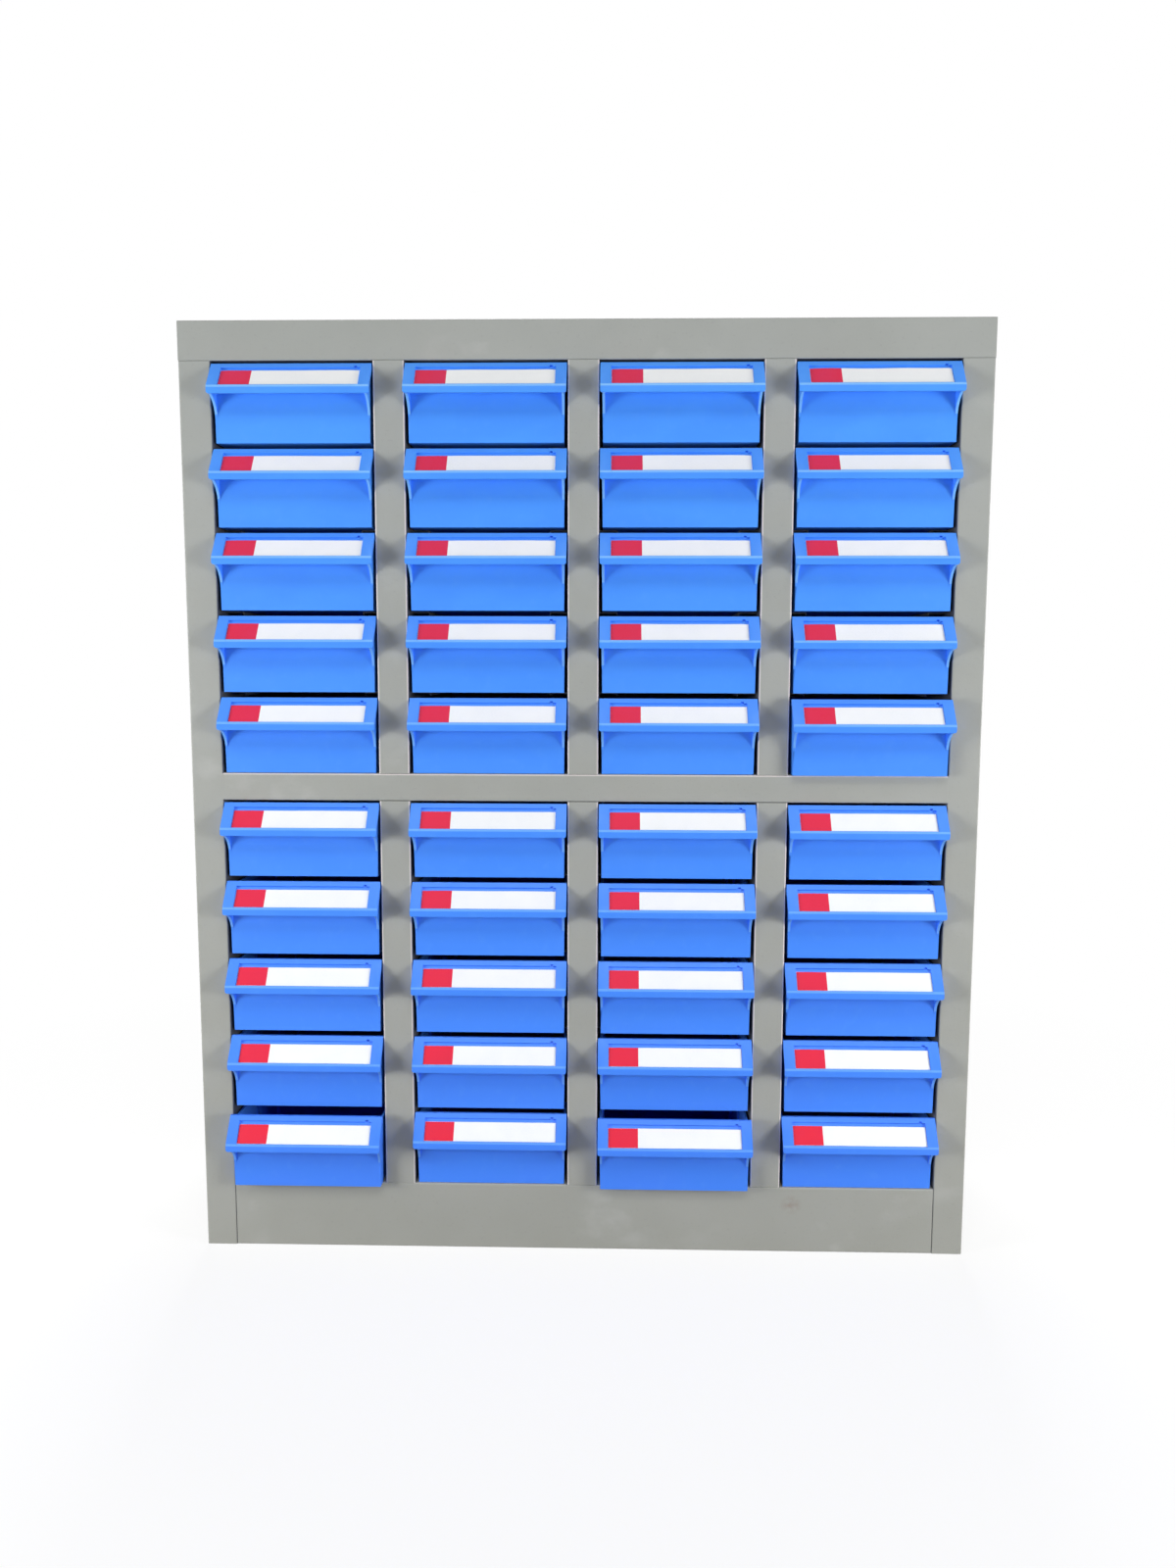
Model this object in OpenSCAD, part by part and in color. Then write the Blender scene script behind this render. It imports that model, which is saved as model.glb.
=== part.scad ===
/* [Cabinet] */
// Depth of the cabinet from its front plane to its back
cabinet_depth = 222; // [160:1:400]
// Thickness of the steel sheet
sheet = 0.8; // [0.6:0.1:1.2]
// Inside radius of the folds
fold_radius = 0.4; // [0.2:0.1:1.5]
// Width of the stile on each side of the front
side_stile = 23.8; // [18:0.1:40]
// Width of the stiles between the columns
stile = 23.6; // [18:0.1:40]
// Height of the rail over the upper group of drawers
top_rail = 29; // [22:0.5:60]
// Height of the rail between the two groups of drawers
middle_rail = 21; // [18:0.5:50]
// Height of the rail under the lower group of drawers
bottom_rail = 53; // [30:0.5:120]
// Depth of the flange folded back from the edge of a rail
return_flange = 8; // [5:0.5:9]
// Height of the flange folded down at the rear of a shelf
rear_flange = 14; // [8:0.5:16]
// Open seam between two sheets that meet edge to edge
seam = 0.2; // [0.1:0.1:0.8]

/* [Runners] */
// Width of the ledge that a drawer slides on
ledge_width = 14; // [8:0.5:20]
// Height of the runner's flange on the wall
runner_flange = 9; // [5:0.5:10]
// Height of the stiffening lip under the ledge's inner edge
ledge_lip = 1.6; // [0.9:0.1:1.8]
// Distance from the front plane to the front end of a runner
runner_setback = 18; // [9.5:0.5:30]

/* [Drawers] */
// Clear width of the opening for a column of drawers
opening_width = 120.4; // [90:0.1:180]
// Height of a drawer, bottom to the top edge of its label plate
drawer_height = 57.3; // [52:0.1:90]
// Wall thickness of a drawer
wall = 1.6; // [1.2:0.1:2.4]
// Narrowing of the tray on each side, rim to bottom
draft = 0.8; // [0:0.1:2]
// Drop from the label plate's top edge to the rim of the tray
rim_drop = 4; // [3:0.5:12]
// Gap on each side between the tray's rim and the cabinet
tray_side_gap = 1.8; // [1.6:0.1:4]
// Gap on each side between the handle's lip and the opening
lip_side_gap = 0.5; // [0.3:0.1:2]
// Distance that the front panel lies behind the cabinet's front plane
panel_inset = 1.4; // [1:0.1:4]
// Gap between a drawer and the ledge or shelf under it
running_gap = 0.3; // [0.2:0.1:0.8]
// Free height between a drawer and the ledge over it
head_gap = 3.1; // [2.4:0.1:6]
// Gap between the highest drawer of a group and the rail over it
top_gap = 1.9; // [1:0.1:2.2]
// Gap between a closed drawer and the back panel
rear_gap = 0.6; // [0.3:0.1:3]

/* [Divider slots] */
// Thickness of the ribs that hold a loose divider in a tray
rib_width = 1; // [0.8:0.1:1.6]
// Distance that a rib stands out of the tray's wall
rib_depth = 1.2; // [0.8:0.1:2]
// Slot between the two ribs of a pair
slot_width = 1.6; // [1:0.1:3]
// Drop from the rim of the tray to the top of a rib
rib_drop = 8; // [4:0.5:20]

/* [Handle] */
// Reach of the lip in front of the cabinet's front plane
lip_reach = 12; // [10:0.5:22]
// Height of the lip's upright face
lip_height = 5.4; // [4:0.1:10]
// Thickness of the lip
lip_wall = 2; // [1.4:0.1:3]
// Drop of the sloped label plate, top edge to lip
plate_drop = 18.8; // [12:0.1:20]
// Thickness of the label plate
plate_wall = 2.6; // [2.4:0.1:4]
// Distance that the label plate's top edge lies behind the front plane
plate_inset = 0.9; // [0.2:0.1:0.9]
// Thickness of the cheeks at the ends of the handle
cheek_wall = 1.8; // [1.2:0.1:3]
// Height of the cheeks' curve below the lip
cheek_drop = 16; // [12:0.5:26]
// Radius of the lip's lower corners
lip_corner = 1.6; // [0.5:0.1:3]
// Bevel between the label plate and the lip, measured along each of them
lip_bevel = 0.9; // [0.3:0.1:1.5]

/* [Label] */
// Width of the border beside the label pocket
label_border = 8; // [5:0.5:20]
// Height of the border over the label pocket, along the slope
label_head = 3.9; // [2:0.1:6]
// Height of the strip between the label pocket and the lip's bevel, along the slope
label_ridge = 0.2; // [0.1:0.1:2]
// Depth of the label pocket
pocket_depth = 1.4; // [0.8:0.1:1.6]
// Height of the label card, along the slope
card_height = 14.8; // [8:0.1:15]
// Thickness of the label card
card_thickness = 0.4; // [0.2:0.1:0.6]
// Gap between the label card and the ends of its pocket
card_gap = 0.3; // [0.1:0.1:1]
// Play between the label card and the floor of its pocket
card_play = 0.1; // [0.05:0.05:0.3]
// Width of the lifting notch at the pocket's upper corner
notch_width = 2.2; // [1:0.1:5]
// Height of the lifting notch
notch_height = 1.4; // [0.8:0.1:1.6]

/* [Rivets] */
// Radius of a rivet's shank
rivet_radius = 1.6; // [1.2:0.1:2]
// Radius of a rivet's head
rivet_head = 3.2; // [2.6:0.1:4]
// Height of a rivet's head
rivet_rise = 1; // [0.6:0.1:1.6]

/* [Hidden] */
columns = 4;
group_rows = 5;
groups = 2;
rows = groups * group_rows;
fold_steps = 4;
rivet_rows = 6;
slot_pairs = 3;
rivet_clearance = 0.1;
rivet_tail = 0.8;
flange_width = 12;
web_gap = 1;
overlap = 1;
tab_height = 26;
tab_lap = 6;
notch_offset = 2.4;

// Drawers that stand a little open at rest: row, column, distance
left_open = [[5, 4, 7], [10, 1, 9.4], [10, 3, 8.7]];

column_pitch = opening_width + stile;
cabinet_width = columns * opening_width + (columns - 1) * stile + 2 * side_stile;
row_pitch = drawer_height + running_gap + sheet + head_gap;
group_height = running_gap + (group_rows - 1) * row_pitch + drawer_height + top_gap;
overhang = lip_reach + max([for (d = left_open) d[2]]);
front = (overhang - cabinet_depth) / 2;
back = front + cabinet_depth;
back_face = back - sheet;
lower_bottom = bottom_rail;
lower_top = lower_bottom + group_height;
upper_bottom = lower_top + middle_rail;
upper_top = upper_bottom + group_height;
cabinet_height = upper_top + top_rail;
web_front = front + return_flange + web_gap;
web_rear = back_face - sheet - fold_radius;

tray_top = opening_width / 2 - tray_side_gap;
rim = drawer_height - rim_drop;
side_slope = draft / rim;
tray_rear = cabinet_depth - sheet - rear_gap;
lip_half = opening_width / 2 - lip_side_gap;
plate_run = lip_reach + plate_inset;
plate_angle = atan2(plate_drop, plate_run);
plate_length = norm([plate_drop, plate_run]);
plate_sink = plate_wall / cos(plate_angle);
lip_bottom = drawer_height - plate_drop - lip_height;
pocket_end = plate_length - lip_bevel - label_ridge;
pocket_half = lip_half - label_border;

function column_x(c) = (c - (columns + 1) / 2) * column_pitch;
function divider_x(i) = (i - columns / 2) * column_pitch;
function group_bottom(r) = r > group_rows ? lower_bottom : upper_bottom;
// Bottom of the drawer in row r of a group, where row 0 is the place over the highest drawer
function level(r) = running_gap + (group_rows - r) * row_pitch;
function row_z(r) = group_bottom(r) + level((r - 1) % group_rows + 1);
function open_by(r, c) = max([0, for (d = left_open) if (d[0] == r && d[1] == c) d[2]]);

function unit(v) = v / norm(v);
function left_of(v) = [-v[1], v[0]];
function turned(v, a) = [v[0] * cos(a) - v[1] * sin(a), v[0] * sin(a) + v[1] * cos(a)];
function turn(a, b) = atan2(a[0] * b[1] - a[1] * b[0], a * b);

// Points round one corner p, from direction a to direction b, at the given radius;
// inset moves them to a parallel line on the left
function arc(p, a, b, radius, inset) =
    let (angle = turn(a, b),
         side = sign(angle),
         centre = p - a * radius * tan(abs(angle) / 2) + side * radius * left_of(a))
    [for (i = [0 : fold_steps])
        centre - side * (radius - side * inset) * turned(left_of(a), angle * i / fold_steps)];

// One face of a folded sheet along the corners of path
function face(path, inset) = concat(
    [path[0] + inset * left_of(unit(path[1] - path[0]))],
    [for (i = [1 : len(path) - 2])
        let (a = unit(path[i] - path[i - 1]), b = unit(path[i + 1] - path[i]))
        for (q = arc(path[i], a, b, turn(a, b) > 0 ? fold_radius + sheet : fold_radius, inset)) q],
    [let (n = len(path) - 1) path[n] + inset * left_of(unit(path[n] - path[n - 1]))]
);
function reversed(list) = [for (i = [len(list) - 1 : -1 : 0]) list[i]];

// Section of a sheet folded along path, with its thickness on the left
module fold(path) { polygon(concat(face(path, 0), reversed(face(path, sheet)))); }

module along_x(x0, x1) { translate([x0, 0, 0]) rotate([90, 0, 90]) linear_extrude(x1 - x0) children(); }
module along_y(y0, y1) { translate([0, y1, 0]) rotate([90, 0, 0]) linear_extrude(y1 - y0) children(); }
module along_z(z0, z1) { translate([0, 0, z0]) linear_extrude(z1 - z0) children(); }
module block(low, high) { translate(low) cube(high - low); }

// Rivets that hold the back panel on the rear flanges of the sides
module rivet_places() {
    for (side = [-1, 1], i = [0 : rivet_rows - 1])
        translate([side * (cabinet_width - flange_width) / 2, back, upper_top * (i + 0.5) / rivet_rows])
            rotate([-90, 0, 0]) children();
}

module rivet_holes() {
    rivet_places()
        cylinder(h = 2 * (2 * sheet + overlap), r = rivet_radius + rivet_clearance, center = true, $fn = 32);
}

// Folded side with its outer wall, front stile, inner wall and rear flange
module side_panel() {
    outer = -cabinet_width / 2;
    inner = outer + side_stile;
    difference() {
        union() {
            along_z(0, upper_top - seam)
                fold([[outer + flange_width, back_face], [outer, back_face], [outer, front],
                      [inner, front], [inner, back_face]]);
            block([inner - sheet, web_front, upper_top - seam - overlap],
                  [inner, web_rear, cabinet_height - sheet]);
            block([outer + sheet, web_front, upper_top - seam - tab_lap],
                  [outer + 2 * sheet, back_face - web_gap - sheet, upper_top - seam - tab_lap + tab_height]);
        }
        rivet_holes();
    }
}

module left_side_panel() { color("#a4a8a5") side_panel(); }
module right_side_panel() { color("#a4a8a5") mirror([1, 0, 0]) side_panel(); }

// Sheet with an upright face at the front, a flange folded back under it and a flange at the rear
module shelf_section(top, face_height, rear_y, rear_height) {
    fold([[rear_y, top - rear_height], [rear_y, top], [front, top],
          [front, top - face_height], [front + return_flange, top - face_height]]);
}

module top_panel() {
    half = cabinet_width / 2;
    corner = fold_radius + sheet;
    color("#a8aca9") {
        along_x(-half, half) shelf_section(cabinet_height, top_rail, back, top_rail);
        for (x = [-half, half - sheet])
            block([x, front + corner, upper_top], [x + sheet, back - corner, cabinet_height - sheet / 2]);
    }
}

module middle_shelf() {
    half = cabinet_width / 2 - side_stile;
    color("#a2a6a3") along_x(-half, half) shelf_section(upper_bottom, middle_rail, back_face, rear_flange);
}

module bottom_panel() {
    half = cabinet_width / 2 - side_stile - seam;
    color("#9c9d97") along_x(-half, half) shelf_section(lower_bottom, bottom_rail, back_face, rear_flange);
}

module back_panel() {
    half = (cabinet_width - seam) / 2;
    color("#9fa3a0") difference() {
        block([-half, back_face, 0], [half, back, upper_top - seam]);
        rivet_holes();
    }
}

// Upright channel between two columns; its walls go on up behind the rail
module divider(i, bottom, opening_top, wall_top) {
    x = divider_x(i);
    half = stile / 2;
    color("#a0a4a1") {
        along_z(bottom, opening_top - seam)
            fold([[x - half, back_face], [x - half, front], [x + half, front], [x + half, back_face]]);
        for (wall_x = [x - half, x + half - sheet])
            block([wall_x, web_front, opening_top - seam - overlap], [wall_x + sheet, web_rear, wall_top]);
    }
}

// Ledge with a flange on the wall of the opening and a lip under its inner edge
module runner() {
    wall_x = -opening_width / 2;
    edge = wall_x + ledge_width;
    along_y(front + runner_setback, back_face - web_gap)
        polygon([[wall_x, -sheet], [edge - sheet, -sheet], [edge - sheet, -sheet - ledge_lip],
                 [edge, -sheet - ledge_lip], [edge, 0], [wall_x + sheet, 0],
                 [wall_x + sheet, runner_flange], [wall_x, runner_flange]]);
}

module runners(c) {
    color("#8f9390") for (bottom = [lower_bottom, upper_bottom], r = [0 : group_rows - 1], side = [0, 1])
        translate([column_x(c), 0, bottom + level(r) - running_gap]) mirror([side, 0, 0]) runner();
}

module back_rivets() {
    color("#b5b8b6") rivet_places() {
        cylinder(h = rivet_rise, r1 = rivet_head, r2 = rivet_radius, $fn = 32);
        translate([0, 0, -2 * sheet - rivet_tail])
            cylinder(h = 2 * sheet + rivet_tail + rivet_rise / 2, r = rivet_radius, $fn = 32);
    }
}

// A drawer's frame has x from the middle of its column, y from the front plane and z from its bottom.
// Outline of the tray seen from the front, cut at floor and top, with its sides moved in by inset
module tray_front_outline(floor, top, inset) {
    low = tray_top - draft + floor * side_slope - inset;
    high = tray_top - draft + top * side_slope - inset;
    polygon([[-low, floor], [low, floor], [high, top], [-high, top]]);
}

// Outline of the tray seen from the side, with its ends moved in by inset
module tray_side_outline(floor, top, inset) {
    low = tray_rear - draft + floor * side_slope - inset;
    high = tray_rear - draft + top * side_slope - inset;
    polygon([[panel_inset + inset, floor], [low, floor], [high, top], [panel_inset + inset, top]]);
}

module tray_body(floor, top, inset) {
    intersection() {
        along_y(0, tray_rear) tray_front_outline(floor, top, inset);
        along_x(-lip_half, lip_half) tray_side_outline(floor, top, inset);
    }
}

// Pairs of ribs on both side walls, from the floor up
module divider_ribs() {
    for (i = [1 : slot_pairs], side = [-1, 1]) {
        middle = panel_inset + (tray_rear - panel_inset) * i / (slot_pairs + 1);
        y = middle + side * (slot_width + rib_width) / 2;
        along_y(y - rib_width / 2, y + rib_width / 2) difference() {
            tray_front_outline(wall / 2, rim - rib_drop, wall / 2);
            tray_front_outline(0, rim, wall + rib_depth);
        }
    }
}

module tray() {
    difference() {
        tray_body(0, rim, 0);
        tray_body(wall, rim + overlap, wall);
    }
    divider_ribs();
    intersection() {
        along_y(panel_inset, panel_inset + wall) tray_front_outline(0, plate_under(panel_inset), 0);
        along_x(-lip_half, lip_half) square([cabinet_depth, drawer_height]);
    }
}

// Underside of the label plate at a distance y behind the front plane
function plate_under(y) = drawer_height - (plate_inset - y) * tan(plate_angle) - plate_sink;

// Section of the handle: sloped label plate, bevel and upright lip
module handle_section() {
    edge = [-lip_reach, drawer_height - plate_drop];
    polygon([[plate_inset, drawer_height], edge + lip_bevel * [cos(plate_angle), sin(plate_angle)],
             edge - [0, lip_bevel], [-lip_reach, lip_bottom],
             [lip_wall - lip_reach, lip_bottom], [lip_wall - lip_reach, plate_under(lip_wall - lip_reach)],
             [panel_inset, plate_under(panel_inset)], [panel_inset, plate_under(panel_inset) - overlap],
             [panel_inset + wall, plate_under(panel_inset) - overlap], [panel_inset + wall, drawer_height]]);
}

// Front view of the handle, with rounded lower corners at the ends of the lip
module handle_outline() {
    corners = [[-lip_half, drawer_height + overlap], [-lip_half, lip_bottom],
               [lip_half, lip_bottom], [lip_half, drawer_height + overlap]];
    across = [1, 0];
    polygon(concat([corners[0]], arc(corners[1], [0, -1], across, lip_corner, 0),
                   arc(corners[2], across, [0, 1], lip_corner, 0), [corners[3]]));
}

// Cheek under the label plate, hollowed by an arc that runs out in the front panel
module cheek_section() {
    chord = lip_reach - lip_wall / 2 + panel_inset;
    radius = (chord * chord + cheek_drop * cheek_drop) / (2 * chord);
    low = lip_bottom - cheek_drop;
    lip_y = lip_wall / 2 - lip_reach;
    root = panel_inset + wall / 2;
    difference() {
        polygon([[root, low], [lip_y, low], [lip_y, plate_under(lip_y) + plate_sink / 2],
                 [root, plate_under(root) + plate_sink / 3]]);
        translate([panel_inset - radius, low]) circle(radius, $fn = 64);
    }
}

module cheeks() {
    intersection() {
        along_y(-lip_reach, panel_inset + wall) difference() {
            tray_front_outline(0, drawer_height, 0);
            tray_front_outline(-overlap, drawer_height + overlap, cheek_wall);
        }
        along_x(-lip_half, lip_half) cheek_section();
    }
}

// Turns the label's flat frame onto the slope: y down the slope is negative, z is out of the plate
module on_plate() { translate([0, plate_inset, drawer_height]) rotate([plate_angle, 0, 0]) children(); }

module label_pocket() {
    on_plate() {
        block([-pocket_half, -pocket_end, -pocket_depth], [pocket_half, -label_head, overlap]);
        block([pocket_half - notch_offset - notch_width, -label_head - overlap, -pocket_depth],
              [pocket_half - notch_offset, -label_head + notch_height, overlap]);
    }
}

module label_card() {
    under = card_play - pocket_depth;
    low = card_gap - pocket_end;
    on_plate() block([card_gap - pocket_half, low, under],
                     [pocket_half - card_gap, low + card_height, under + card_thickness]);
}

module drawer(r, c) {
    translate([column_x(c), front - open_by(r, c), row_z(r)]) {
        color("#4f93fe") difference() {
            union() {
                tray();
                intersection() {
                    along_x(-lip_half, lip_half) handle_section();
                    along_y(-lip_reach - overlap, panel_inset + wall + overlap) handle_outline();
                }
                cheeks();
            }
            label_pocket();
        }
        color("#fafdfe") label_card();
    }
}

left_side_panel();
right_side_panel();
top_panel();
middle_shelf();
bottom_panel();
back_panel();
for (i = [1 : columns - 1]) {
    divider(i, upper_bottom, upper_top, cabinet_height - sheet);
    divider(i, lower_bottom, lower_top, upper_bottom - sheet);
}
for (c = [1 : columns]) runners(c);
back_rivets();
for (r = [1 : rows], c = [1 : columns])
    drawer(r, c);
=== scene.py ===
"""Looks of the parts bin cabinet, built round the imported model."""

import math
import random

import bmesh
import bpy
from mathutils import Matrix, Vector


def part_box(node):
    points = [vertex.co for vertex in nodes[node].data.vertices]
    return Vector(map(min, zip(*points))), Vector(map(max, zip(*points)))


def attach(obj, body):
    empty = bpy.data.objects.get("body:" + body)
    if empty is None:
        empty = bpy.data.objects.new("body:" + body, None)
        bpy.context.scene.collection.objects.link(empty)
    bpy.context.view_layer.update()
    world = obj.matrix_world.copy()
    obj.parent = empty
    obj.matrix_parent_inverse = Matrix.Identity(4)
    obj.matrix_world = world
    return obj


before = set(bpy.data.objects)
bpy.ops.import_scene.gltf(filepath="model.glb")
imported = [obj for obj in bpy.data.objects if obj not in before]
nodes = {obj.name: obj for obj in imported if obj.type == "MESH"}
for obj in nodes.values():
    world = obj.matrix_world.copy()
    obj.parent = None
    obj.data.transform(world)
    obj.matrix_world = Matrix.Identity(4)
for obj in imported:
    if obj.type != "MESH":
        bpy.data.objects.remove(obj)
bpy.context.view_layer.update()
scene = bpy.context.scene

MM = 0.001
ROWS = range(1, 11)
COLUMNS = range(1, 5)

# The drawer's front as the part's source has it
LIP_REACH = 12.0 * MM
PLATE_INSET = 0.9 * MM
PLATE_DROP = 18.8 * MM
LIP_BEVEL = 0.9 * MM
CHEEK_WALL = 1.8 * MM
LABEL_RIDGE = 0.2 * MM
LABEL_BORDER = 8.0 * MM
POCKET_DEPTH = 1.4 * MM
CARD_HEIGHT = 14.8 * MM
CARD_THICKNESS = 0.4 * MM
CARD_GAP = 0.3 * MM
CARD_PLAY = 0.1 * MM

# The label plate and its card, worked out from these
PLATE_RUN = LIP_REACH + PLATE_INSET
PLATE_LENGTH = math.hypot(PLATE_RUN, PLATE_DROP)
CARD_END = PLATE_LENGTH - LIP_BEVEL - LABEL_RIDGE - CARD_GAP
CARD_START = CARD_END - CARD_HEIGHT
CARD_BACK = CARD_PLAY - POCKET_DEPTH
CARD_FACE = CARD_BACK + CARD_THICKNESS

# The cabinet's front as the part's source has it
TOP_RAIL = 29.0 * MM
MIDDLE_RAIL = 21.0 * MM
SIDE_STILE = 23.8 * MM
SEAM = 0.2 * MM
FOLD_OUTSIDE = 1.2 * MM

# Rounding of the edges: its width on each kind of piece, and the angle in degrees from which an edge has it
DRAWER_EDGE = 0.35 * MM
RUNNER_EDGE = 0.12 * MM
RIVET_EDGE = 0.1 * MM
STEEL_EDGE = 0.1 * MM
EDGE_SEGMENTS = 2
EDGE_ANGLE = 32
WELD_DISTANCE = 0.001 * MM

# Places in a drawer's list of materials, in a steel sheet's and in a printed sheet's
PAPER = 1
# A drawer's painted highlight: paler blue on the lip's bevel and the cheeks' front edges
HANDLE_HIGHLIGHT = 2
# A steel sheet's painted highlight: paler paint on its front folds, for the light they catch
FOLD_HIGHLIGHT = 1
# A steel sheet's painted shade: dark paint on faces where shade falls under and beside the drawers
PAINTED_SHADE = 2
WHITE = 0
RED = 1

# How far a face may stray from the card or the handle, and still be painted as part of it
CARD_MARGIN = 0.05 * MM
HANDLE_MARGIN = 1.0 * MM

# Limits for the parts across, outward and up of a face's normal, which tell the painted faces apart
HANDLE_ACROSS = 0.1
BEVEL_UP = (0.2, 0.4)
BEVEL_OUTWARD = -0.9
CHEEK_UP = (-0.97, -0.22)
CHEEK_OUTWARD = -0.1
FOLD_OUTWARD = (-0.99, -0.7)
FOLD_LOWEST_UP = -0.1
DOWNWARD = -0.9
SIDEWAYS = 0.7

# The beads of paint that fill the seams at the rails, and stop short of the folds at their ends
BEAD_RECESS = 0.03 * MM
BEAD_DEPTH = 0.5 * MM
BEAD_SHOULDER = 0.1 * MM
BEAD_CLEARANCE = 0.01 * MM
BEAD_END = 0.4 * MM
GROOVE_ROOT = 0.36 * MM

# The small scuff on the bottom rail: it fades from its core to its reach
SCUFF_PLACE = (0.165, -0.1003, 0.039)
SCUFF_REACH = 9.0 * MM
SCUFF_CORE = 1.8 * MM

# The printed sheet that lies on the card
SHEET_INSET = 0.12 * MM
SHEET_THICKNESS = 0.12 * MM
SHEET_LIFT = 0.02 * MM
SHEET_BULGE = 0.55 * MM
RED_WIDTH = 23.0 * MM
SHEET_STEPS_RED = 8
SHEET_STEPS_WHITE = 32
SHEET_STEPS_DOWN = 6
SHEET_SHARP_ANGLE = 40

# The sheet's bulge is a sum of waves: each one's turns over the sheet's length, its weight, and the share of
# the whole bulge that a sheet has
SHEET_WAVES = 3
WAVE_TURNS = (0.5, 2.2)
WAVE_WEIGHT = (0.3, 1.0)
BULGE_SHARE = (0.25, 1.0)

# What is left of the bulge at the sheet's lower edge, and over which shares of its length its ends come down
LOW_EDGE_SHARE = 0.25
LEFT_END_SHARE = 0.08
RIGHT_END_SHARE = 0.05

# The range of a share, the range that most noise lies in, and a slightly narrower one with more contrast
WHOLE = (0.0, 1.0)
NOISE_SPAN = (0.3, 0.7)
NOISE_CORE = (0.35, 0.65)

# Heights between which a colour changes from the cabinet's foot to its head. The change is painted light: it
# stands in for light and reflection that differ between high and low parts
TONE_HEIGHTS = (0.05, 0.66)

# Colours mixed into powder coating: its pale cloud, its dark specks, rubbed patches and the scuff's brown
COAT_CLOUD = (0.55, 0.56, 0.55, 1.0)
COAT_SPECK = (0.16, 0.17, 0.17, 1.0)
COAT_RUBBED = (0.60, 0.61, 0.60, 1.0)
SCUFF_SRGB = (128, 98, 74)

# The photograph's camera, which sees 1200 x 1600: its turn is in degrees, its lens and sensor in millimetres
CAMERA_PLACE = (0.023, -0.939, 0.459)
CAMERA_TURN = (84.09, -0.14, 1.315)
CAMERA_LENS = 25.42
CAMERA_SENSOR = 36.0
CAMERA_CLIP = 0.01


def srgb(red, green, blue):
    """A colour as seen on a screen, 0 to 255, as the linear colour that a shader takes."""
    def linear(value):
        share = value / 255
        return share / 12.92 if share <= 0.04045 else ((share + 0.055) / 1.055) ** 2.4
    return (linear(red), linear(green), linear(blue), 1.0)


class Tree:
    """A node tree, and short calls that add nodes to it."""

    def __init__(self, owner):
        owner.use_nodes = True
        self.nodes = owner.node_tree.nodes
        self.links = owner.node_tree.links

    def feed(self, socket, value):
        """Gives an input a number, a colour or another node's output."""
        if isinstance(value, bpy.types.NodeSocket):
            self.links.new(value, socket)
        else:
            socket.default_value = value

    def add(self, kind, inputs=None, **settings):
        """Adds a node with its inputs by name or number and its settings."""
        made = self.nodes.new(kind)
        for name, value in settings.items():
            setattr(made, name, value)
        for name, value in (inputs or {}).items():
            self.feed(made.inputs[name], value)
        return made

    def remap(self, value, source, target):
        """value, moved from the range source to the range target and kept inside it."""
        inputs = {"Value": value, "From Min": source[0], "From Max": source[1],
                  "To Min": target[0], "To Max": target[1]}
        return self.add("ShaderNodeMapRange", inputs).outputs["Result"]

    def combine(self, kind, first, second):
        """Math of two values."""
        return self.add("ShaderNodeMath", {0: first, 1: second}, operation=kind).outputs["Value"]

    def seen(self):
        """1 for the rays that show the background: camera, glossy and transmission rays."""
        path = self.add("ShaderNodeLightPath").outputs
        total = self.combine("MAXIMUM", path["Is Camera Ray"], path["Is Glossy Ray"])
        return self.combine("MAXIMUM", total, path["Is Transmission Ray"])


class Graph(Tree):
    """A material with a Principled shader and noise on the object's own place."""

    def __init__(self, name, **constants):
        self.material = bpy.data.materials.new(name)
        super().__init__(self.material)
        self.shader = self.nodes["Principled BSDF"]
        for socket, value in constants.items():
            self.shader.inputs[socket.replace("_", " ")].default_value = value
        self.place = self.add("ShaderNodeTexCoord").outputs["Object"]

    def stretched(self, scale):
        """The place on the object, with each axis multiplied by scale."""
        return self.add("ShaderNodeMapping", {"Vector": self.place, "Scale": scale}).outputs["Vector"]

    def noise(self, scale, detail=3.0, place=None):
        """Noise with about scale lumps in a metre."""
        inputs = {"Vector": place or self.place, "Scale": scale, "Detail": detail}
        return self.add("ShaderNodeTexNoise", inputs).outputs["Fac"]

    def mix(self, share, first, second):
        """A colour from first, at share 0, to second, at share 1."""
        made = self.add("ShaderNodeMix", {0: share, 6: first, 7: second}, data_type="RGBA")
        return made.outputs[2]

    def by_height(self, bottom, top):
        """A colour from bottom at the cabinet's foot to top at its head, as painted light for the light and
        reflection that differ with height.
        """
        height = self.add("ShaderNodeSeparateXYZ", {"Vector": self.place}).outputs["Z"]
        return self.mix(self.remap(height, TONE_HEIGHTS, WHOLE), bottom, top)

    def bump(self, height, distance):
        """The surface's direction with height, from 0 to 1, standing up to distance."""
        inputs = {"Height": height, "Distance": distance, "Strength": 1.0}
        return self.add("ShaderNodeBump", inputs).outputs["Normal"]

    def finish(self, tone, roughness, normal):
        """Feeds the shader, and gives back the material."""
        self.feed(self.shader.inputs["Base Color"], tone)
        self.feed(self.shader.inputs["Roughness"], roughness)
        self.feed(self.shader.inputs["Normal"], normal)
        return self.material


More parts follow.
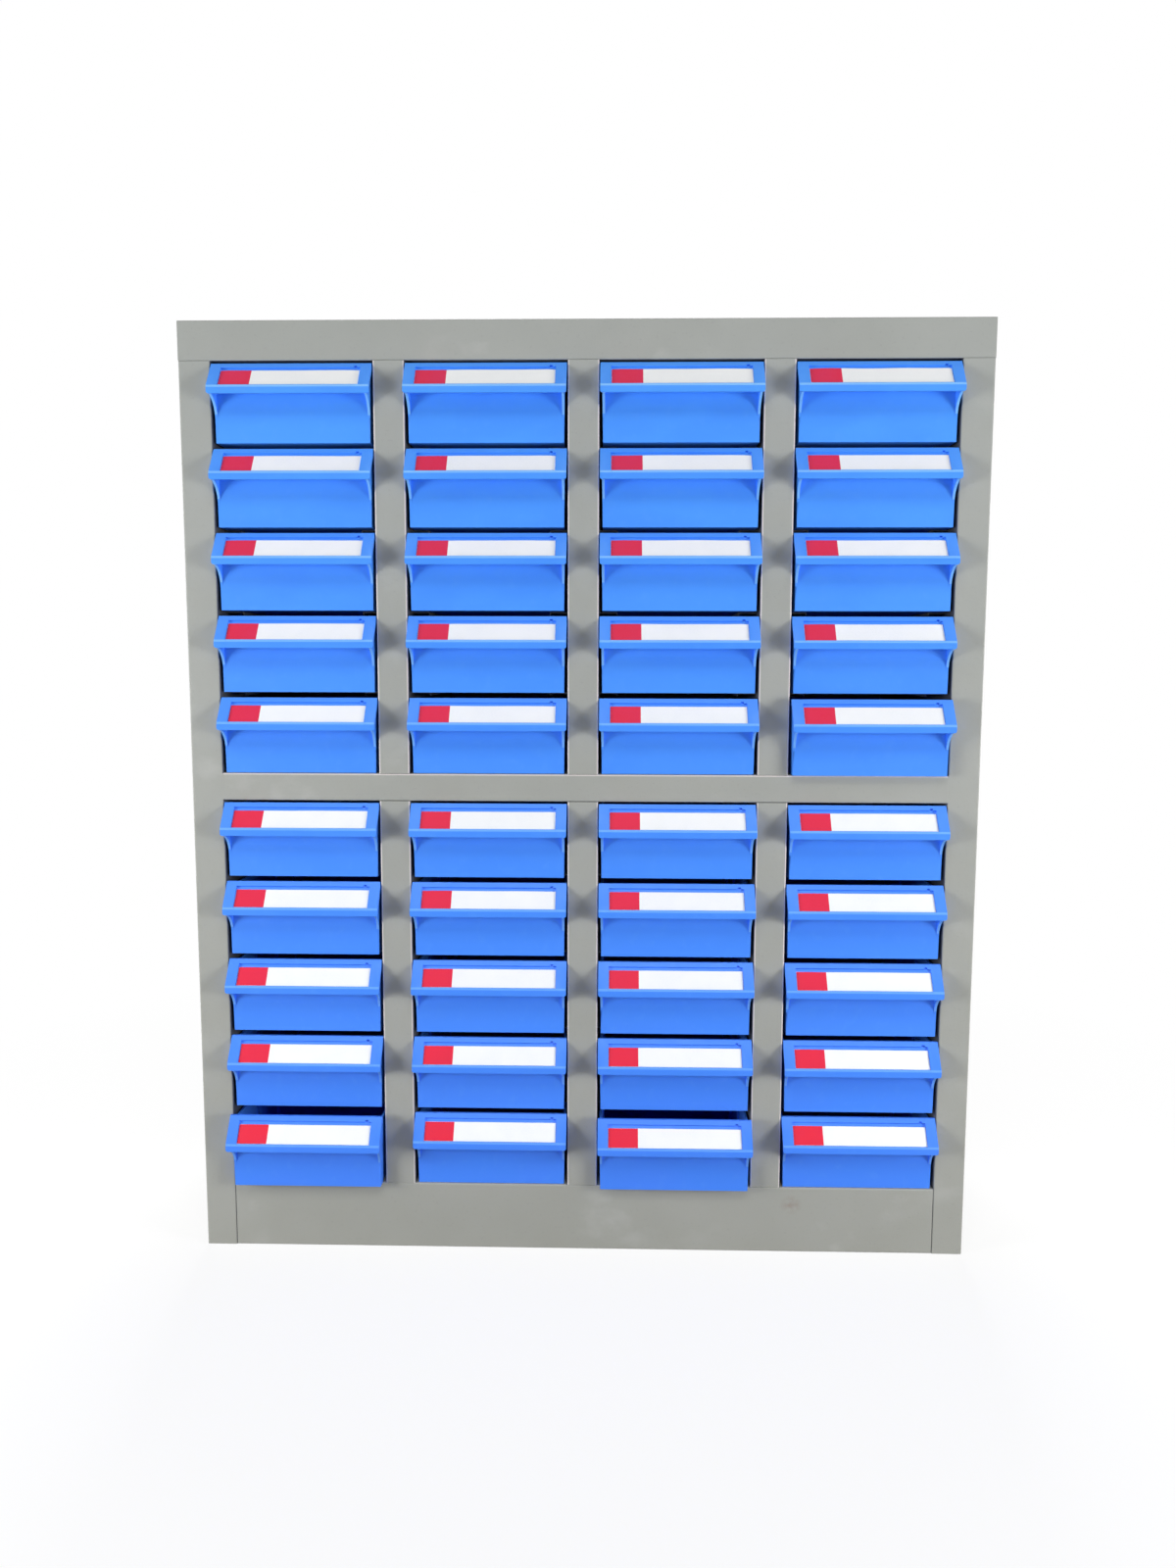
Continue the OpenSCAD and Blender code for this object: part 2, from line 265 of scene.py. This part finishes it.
def powder_coat(name, top, bottom, scuff=0.0):
    """Powder coating with a fine orange peel, dark specks, rubbed patches and a scuff of that strength."""
    graph = Graph(name, Specular_IOR_Level=0.4)
    tone = graph.by_height(bottom, top)
    cloud = graph.remap(graph.noise(14.0, detail=4.0), NOISE_CORE, WHOLE)
    tone = graph.mix(cloud, tone, graph.mix(0.10, tone, COAT_CLOUD))
    specks = graph.remap(graph.noise(420.0, detail=2.0), (0.62, 0.72), (0.0, 0.10))
    tone = graph.mix(specks, tone, COAT_SPECK)
    stretched = graph.stretched((24.0, 24.0, 34.0))
    patches = graph.remap(graph.noise(1.0, detail=5.0, place=stretched), (0.56, 0.70), WHOLE)
    area = graph.remap(graph.noise(7.0), (0.50, 0.62), (0.0, 0.22))
    tone = graph.mix(graph.combine("MULTIPLY", patches, area), tone, COAT_RUBBED)
    if scuff:
        away = graph.add("ShaderNodeVectorMath", {0: graph.place, 1: SCUFF_PLACE}, operation="DISTANCE")
        spot = graph.remap(away.outputs["Value"], (SCUFF_REACH, SCUFF_CORE), (0.0, scuff))
        broken = graph.remap(graph.noise(150.0), NOISE_CORE, WHOLE)
        tone = graph.mix(graph.combine("MULTIPLY", spot, broken), tone, srgb(*SCUFF_SRGB))
    roughness = graph.remap(graph.noise(60.0, detail=4.0), NOISE_SPAN, (0.42, 0.54))
    peel = graph.combine("ADD", graph.noise(900.0, detail=2.0), graph.noise(260.0, detail=1.0))
    return graph.finish(tone, roughness, graph.bump(peel, 0.05 * MM))


def moulded_plastic(name, top, bottom, deep, pale):
    """Blue moulded plastic with a fine matte grain and slight flow marks."""
    graph = Graph(name, Specular_IOR_Level=0.3, IOR=1.49)
    flow = graph.remap(graph.noise(1.0, place=graph.stretched((16.0, 16.0, 34.0))), (0.38, 0.62), (0.0, 0.35))
    tone = graph.mix(flow, graph.by_height(bottom, top), deep)
    haze = graph.remap(graph.noise(120.0), (0.55, 0.75), (0.0, 0.12))
    tone = graph.mix(haze, tone, pale)
    roughness = graph.remap(graph.noise(90.0, detail=4.0), NOISE_SPAN, (0.36, 0.46))
    grain = graph.noise(1400.0, detail=2.0)
    return graph.finish(tone, roughness, graph.bump(grain, 0.02 * MM))


def printed_paper(name, top, bottom, shade):
    """Smooth printed paper with faint fibres."""
    graph = Graph(name, Specular_IOR_Level=0.3)
    fibres = graph.noise(1.0, detail=4.0, place=graph.stretched((900.0, 2600.0, 2600.0)))
    cloud = graph.remap(graph.noise(55.0), NOISE_CORE, WHOLE)
    share = graph.combine("MULTIPLY", graph.remap(fibres, (0.4, 0.7), (0.2, 1.0)), cloud)
    tone = graph.mix(share, graph.by_height(bottom, top), shade)
    roughness = graph.remap(fibres, NOISE_SPAN, (0.5, 0.62))
    return graph.finish(tone, roughness, graph.bump(fibres, 0.01 * MM))


def bare_metal(name, base, shade):
    """Dull rivet metal with a fine grain."""
    graph = Graph(name, Metallic=1.0)
    grain = graph.noise(1.0, detail=4.0, place=graph.stretched((1500.0, 1500.0, 400.0)))
    tone = graph.mix(graph.remap(grain, NOISE_CORE, WHOLE), base, shade)
    roughness = graph.remap(grain, NOISE_SPAN, (0.32, 0.48))
    return graph.finish(tone, roughness, graph.bump(grain, 0.02 * MM))


def dress(name, materials, edge, folded=False):
    """Gives a CAD node its materials and rounds its edges.

    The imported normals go, because they would hide the rounding. A folded sheet is shaded by its faces' areas.
    """
    node = nodes[name]
    mesh = node.data
    mesh.attributes.remove(mesh.attributes["custom_normal"])
    mesh.shade_smooth()
    mesh.materials.clear()
    for material in materials:
        mesh.materials.append(material)
    node.modifiers.new("weld", "WELD").merge_threshold = WELD_DISTANCE
    bevel = node.modifiers.new("edges", "BEVEL")
    bevel.width = edge
    bevel.segments = EDGE_SEGMENTS
    bevel.limit_method = "ANGLE"
    bevel.angle_limit = math.radians(EDGE_ANGLE)
    bevel.harden_normals = not folded
    if folded:
        node.modifiers.new("shading", "WEIGHTED_NORMAL").keep_sharp = True


class Slope:
    """The frame of a drawer's label plate: across, down the slope and out of the plate."""

    def __init__(self, drawer):
        low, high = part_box(drawer)
        self.origin = Vector(((low.x + high.x) / 2, low.y + PLATE_RUN, high.z))
        self.down = Vector((0.0, -PLATE_RUN, -PLATE_DROP)) / PLATE_LENGTH
        self.out = Vector((0.0, -PLATE_DROP, PLATE_RUN)) / PLATE_LENGTH
        self.card_half = (high.x - low.x) / 2 - LABEL_BORDER - CARD_GAP

    def point(self, across, down, out):
        """The point at these distances in the slope's frame."""
        return self.origin + Vector((across, 0, 0)) + self.down * down + self.out * out

    def reading(self, point):
        """across, down and out of a point."""
        offset = point - self.origin
        return offset.x, offset.dot(self.down), offset.dot(self.out)


def paint_card(drawer):
    """Gives the faces of the card in a drawer's pocket the paper."""
    slope = Slope(drawer)
    for face in nodes[drawer].data.polygons:
        across, down, out = slope.reading(face.center)
        in_width = abs(across) < slope.card_half + CARD_MARGIN
        in_height = CARD_START - CARD_MARGIN < down < CARD_END + CARD_MARGIN
        in_depth = CARD_BACK - CARD_MARGIN < out < CARD_FACE + CARD_MARGIN
        if in_width and in_height and in_depth:
            face.material_index = PAPER


def paint_handle_highlights(drawer):
    """Gives the lip's bevel and the front edges of the cheeks the paler blue, as a painted highlight for the
    light these rounded edges catch.
    """
    low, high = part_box(drawer)
    middle = (low.x + high.x) / 2
    cheek_inside = (high.x - low.x) / 2 - 2 * CHEEK_WALL
    handle_rear = low.y + PLATE_RUN + HANDLE_MARGIN
    for face in nodes[drawer].data.polygons:
        across, outward, up = face.normal
        on_front = abs(across) < HANDLE_ACROSS and face.center.y < handle_rear
        bevel = BEVEL_UP[0] < up < BEVEL_UP[1] and outward < BEVEL_OUTWARD
        at_end = abs(face.center.x - middle) > cheek_inside
        cheek = CHEEK_UP[0] < up < CHEEK_UP[1] and outward < CHEEK_OUTWARD and at_end
        if on_front and (bevel or cheek):
            face.material_index = HANDLE_HIGHLIGHT


def paint_sheet(name):
    """Gives a sheet's front folds a paler paint as a painted highlight, and paints its faces that point down or
    into the openings dark as a painted shade.
    """
    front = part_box(name)[0].y
    divider = "divider" in name
    highlighted = divider or name == "middle_shelf"
    inward = {"left_side_panel": (1,), "right_side_panel": (-1,)}
    sides = (-1, 1) if divider else inward.get(name, ())
    for face in nodes[name].data.polygons:
        across, outward, up = face.normal
        on_fold = face.center.y < front + FOLD_OUTSIDE and FOLD_OUTWARD[0] < outward < FOLD_OUTWARD[1]
        # Painted highlight on the upward and sideways front folds of the dividers and the middle shelf
        if highlighted and on_fold and up > FOLD_LOWEST_UP:
            face.material_index = FOLD_HIGHLIGHT
        # Painted shade: faces that point down or into the openings get the dark paint
        elif up < DOWNWARD or any(across * side > SIDEWAYS for side in sides):
            face.material_index = PAINTED_SHADE


def new_piece(name, made, materials):
    """Turns a finished bmesh into an object with these materials."""
    bmesh.ops.recalc_face_normals(made, faces=made.faces)
    mesh = bpy.data.meshes.new(name)
    made.to_mesh(mesh)
    made.free()
    for material in materials:
        mesh.materials.append(material)
    piece = bpy.data.objects.new(name, mesh)
    scene.collection.objects.link(piece)
    return piece


def sweep(made, section, offset):
    """Adds the closed prism between section and its copy at offset."""
    near = [made.verts.new(point) for point in section]
    far = [made.verts.new(point + offset) for point in section]
    for i in range(len(section)):
        following = (i + 1) % len(section)
        made.faces.new((near[i], near[following], far[following], far[i]))
    made.faces.new(near)
    made.faces.new(far[::-1])


def seam_beads(material):
    """The paint that bridges the seams below the top rail and at the middle rail's ends."""
    left, right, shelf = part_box("left_side_panel"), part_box("right_side_panel"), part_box("middle_shelf")
    front = left[0].y + BEAD_RECESS
    rear = front + BEAD_DEPTH
    shoulder = front + BEAD_SHOULDER
    wall_left, wall_right = left[0].x + SIDE_STILE, right[1].x - SIDE_STILE
    made = bmesh.new()

    spans = [(left[0].x, wall_left), (wall_right, right[1].x)]
    spans += [(box[0].x, box[1].x) for box in (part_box(f"upper_divider_{i}") for i in range(1, 4))]
    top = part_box("top_panel")[1].z - TOP_RAIL - BEAD_CLEARANCE
    bottom = top - SEAM + 2 * BEAD_CLEARANCE
    crown = (top - bottom) / 4
    profile = ((rear, top), (shoulder, top), (front, top - crown),
               (front, bottom + crown), (shoulder, bottom), (rear, bottom))
    for start, end in spans:
        section = [Vector((start + BEAD_END, y, z)) for y, z in profile]
        sweep(made, section, Vector((end - start - 2 * BEAD_END, 0, 0)))

    rail_top = shelf[1].z - BEAD_END
    rail_bottom = shelf[1].z - MIDDLE_RAIL + BEAD_END
    for wall, side in ((wall_left, -1), (wall_right, 1)):
        away = wall + side * FOLD_OUTSIDE
        groove = ((wall, front), (away, front), (wall + side * GROOVE_ROOT, rear), (wall, rear))
        section = [Vector((x, y, rail_bottom)) for x, y in groove]
        sweep(made, section, Vector((0, 0, rail_top - rail_bottom)))

    piece = new_piece("seam_beads", made, (material,))
    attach(piece, "cabinet")


def printed_sheet(row, column, materials):
    """The thin printed sheet on a drawer's card, a little wavy, with a plain red field at its left end."""
    slope = Slope(f"drawer_{row}_{column}")
    chance = random.Random(100 * row + column)
    waves = [(chance.uniform(*WAVE_TURNS), chance.uniform(0, 2 * math.pi), chance.uniform(*WAVE_WEIGHT))
             for _ in range(SHEET_WAVES)]
    strength = chance.uniform(*BULGE_SHARE)
    right = slope.card_half - SHEET_INSET
    left = -right
    border = RED_WIDTH - slope.card_half
    start = CARD_START + SHEET_INSET
    end = CARD_END - SHEET_INSET

    def lift(across, down):
        """Height of the sheet's underside over the plate. The sheet lies flat at its two ends."""
        share = (across - left) / (right - left)
        total = sum(weight * math.sin(2 * math.pi * turns * share + phase)
                    for turns, phase, weight in waves)
        swell = (0.5 + 0.5 * total / sum(wave[2] for wave in waves)) * strength
        tall = 1 - (1 - LOW_EDGE_SHARE) * (down - start) / (end - start)
        ends = min(1.0, share / LEFT_END_SHARE, (1 - share) / RIGHT_END_SHARE)
        smooth_ends = ends * ends * (3 - 2 * ends)
        return CARD_FACE + SHEET_LIFT + SHEET_BULGE * swell * tall * smooth_ends

    stations = [left + (border - left) * i / SHEET_STEPS_RED for i in range(SHEET_STEPS_RED)]
    stations += [border + (right - border) * i / SHEET_STEPS_WHITE for i in range(SHEET_STEPS_WHITE + 1)]
    levels = [start + (end - start) * i / SHEET_STEPS_DOWN for i in range(SHEET_STEPS_DOWN + 1)]
    sheet = bmesh.new()

    def face_points(thickness):
        """The points of one of the sheet's two faces, at thickness over its underside."""
        return [[sheet.verts.new(slope.point(x, s, lift(x, s) + thickness)) for s in levels]
                for x in stations]

    upper = face_points(SHEET_THICKNESS)
    under = face_points(0.0)
    last_x = len(stations) - 1
    last_s = len(levels) - 1

    def quad(corners, index):
        """Adds a smooth face in the WHITE or RED material."""
        face = sheet.faces.new(corners)
        face.smooth = True
        face.material_index = index

    for i in range(last_x):
        index = RED if i < SHEET_STEPS_RED else WHITE
        for k in range(last_s):
            quad((upper[i][k], upper[i][k + 1], upper[i + 1][k + 1], upper[i + 1][k]), index)
            quad((under[i][k], under[i + 1][k], under[i + 1][k + 1], under[i][k + 1]), WHITE)
        for k, flip in ((0, False), (last_s, True)):
            corners = (upper[i][k], upper[i + 1][k], under[i + 1][k], under[i][k])
            quad(corners[::-1] if flip else corners, index)
    for k in range(last_s):
        for i, flip in ((0, True), (last_x, False)):
            corners = (upper[i][k], upper[i][k + 1], under[i][k + 1], under[i][k])
            quad(corners[::-1] if flip else corners, RED if flip else WHITE)
    piece = new_piece(f"label_{row}_{column}", sheet, materials)
    piece.data.set_sharp_from_angle(angle=math.radians(SHEET_SHARP_ANGLE))
    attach(piece, f"drawer_body_{row}_{column}")


def camera():
    """The camera that took the photograph."""
    data = bpy.data.cameras.new("camera")
    data.sensor_width = CAMERA_SENSOR
    data.sensor_fit = "AUTO"
    data.lens = CAMERA_LENS
    data.clip_start = CAMERA_CLIP
    made = bpy.data.objects.new("camera", data)
    made.location = CAMERA_PLACE
    made.rotation_euler = [math.radians(angle) for angle in CAMERA_TURN]
    scene.collection.objects.link(made)
    scene.camera = made


def soft_box(name, place, target, size, power):
    """A soft rectangular lamp at place that shines at target."""
    data = bpy.data.lights.new(name, "AREA")
    data.shape = "RECTANGLE"
    data.size, data.size_y = size
    data.energy = power
    lamp = bpy.data.objects.new(name, data)
    direction = Vector(target) - Vector(place)
    lamp.matrix_world = Matrix.Translation(place) @ direction.to_track_quat("-Z", "Y").to_matrix().to_4x4()
    scene.collection.objects.link(lamp)


def white_world(light):
    """A white background that lights the object at the given strength."""
    world = bpy.data.worlds.new("world")
    scene.world = world
    tree = Tree(world)
    background = tree.nodes["Background"]
    background.inputs["Color"].default_value = (1.0, 1.0, 1.0, 1.0)
    tree.feed(background.inputs["Strength"], tree.remap(tree.seen(), WHOLE, (light, 1.0)))


def white_floor(half, bounce, keep, shade, near, far):
    """A white floor that glows, so that it looks evenly white.

    It throws the share bounce of the light back at the object. To the camera it keeps the share keep of its
    own shading up to the distance near, and none from far on. Its glow is lower by shade times what it keeps.
    """
    mesh = bpy.data.meshes.new("floor")
    corners = [(-half, -half, 0), (half, -half, 0), (half, half, 0), (-half, half, 0)]
    mesh.from_pydata(corners, [], [(0, 1, 2, 3)])
    floor = bpy.data.objects.new("floor", mesh)
    scene.collection.objects.link(floor)
    material = bpy.data.materials.new("floor_white")
    tree = Tree(material)
    tree.nodes.remove(tree.nodes["Principled BSDF"])
    place = tree.add("ShaderNodeTexCoord").outputs["Object"]
    distance = tree.add("ShaderNodeVectorMath", {0: place}, operation="LENGTH").outputs["Value"]
    seen = tree.seen()
    share = tree.combine("MULTIPLY", tree.remap(distance, (near, far), (1 - keep, 1.0)), seen)
    grey = tree.remap(share, WHOLE, (bounce, 0.0))
    glow = tree.combine("MULTIPLY", tree.remap(share, WHOLE, (1 - shade, 1.0)), seen)
    lit = tree.add("ShaderNodeBsdfDiffuse", {"Color": grey})
    glowing = tree.add("ShaderNodeEmission", {"Strength": glow})
    both = tree.add("ShaderNodeAddShader", {0: lit.outputs["BSDF"], 1: glowing.outputs["Emission"]})
    tree.feed(tree.nodes["Material Output"].inputs["Surface"], both.outputs["Shader"])
    mesh.materials.append(material)


camera()
white_world(light=0.02)
white_floor(half=6.0, bounce=0.35, keep=0.7, shade=0.32, near=0.40, far=0.85)
for name, side in (("lamp_left", -1), ("lamp_right", 1)):
    soft_box(name, place=(side * 1.35, -0.74, 0.38), target=(0.0, -0.1, 0.38), size=(0.5, 0.5), power=16.6)
soft_box("lamp_back", place=(0.0, 1.50, 1.50), target=(0.0, 0.1, 0.40), size=(1.1, 0.9), power=26.0)
soft_box("lamp_top", place=(0.0, -1.9, 2.7), target=(0.0, -0.1, 0.36), size=(2.2, 1.0), power=34.0)

# Where a top and a bottom colour differ, the change is painted light for the light and reflection that differ
# between high and low parts
steel = powder_coat("powder_coat_grey", top=srgb(156, 159, 155), bottom=srgb(159, 160, 153), scuff=0.4)
# Painted highlight: the pale paint on the front folds stands in for the light they catch
fold_highlight_steel = powder_coat("powder_coat_fold_highlight", top=srgb(222, 214, 212), bottom=srgb(212, 205, 202))
# Painted shade: the dark paint stands in for the shade in the gaps under and beside the drawers
shade_steel = powder_coat("powder_coat_painted_shade", top=srgb(72, 76, 88), bottom=srgb(70, 74, 84))
# Painted shade: the runners' dark paint stands in for the deep shade they lie in behind the drawers
runner_shaded_steel = powder_coat("powder_coat_runner_painted_shade", top=srgb(84, 87, 92), bottom=srgb(80, 83, 88))
blue = moulded_plastic("moulded_blue", top=srgb(77, 156, 254), bottom=srgb(72, 135, 253),
                       deep=srgb(66, 138, 250), pale=srgb(98, 166, 254))
# Painted highlight: the paler blue stands in for the light caught by the lip's bevel and the cheeks' edges
handle_highlight_blue = moulded_plastic("moulded_blue_painted_highlight", top=srgb(124, 190, 254), bottom=srgb(100, 160, 254),
                            deep=srgb(102, 168, 252), pale=srgb(128, 190, 254))
white_paper = printed_paper("paper_white", top=srgb(250, 252, 253), bottom=srgb(250, 252, 253),
                            shade=srgb(242, 245, 248))
red_paper = printed_paper("paper_red", top=srgb(220, 44, 88), bottom=srgb(236, 32, 60),
                          shade=srgb(226, 36, 70))
rivet_metal = bare_metal("rivet_metal", base=(0.62, 0.63, 0.63, 1.0), shade=(0.50, 0.51, 0.52, 1.0))

for name in nodes:
    if name.startswith("drawer_"):
        dress(name, (blue, white_paper, handle_highlight_blue), DRAWER_EDGE)
        paint_card(name)
        paint_handle_highlights(name)
    elif name.startswith("runners_"):
        dress(name, (runner_shaded_steel,), RUNNER_EDGE)
    elif name == "back_rivets":
        dress(name, (rivet_metal,), RIVET_EDGE)
    else:
        dress(name, (steel, fold_highlight_steel, shade_steel), STEEL_EDGE, folded=True)
        paint_sheet(name)

seam_beads(steel)
for row in ROWS:
    for column in COLUMNS:
        printed_sheet(row, column, (white_paper, red_paper))

scene.view_settings.view_transform = "Standard"
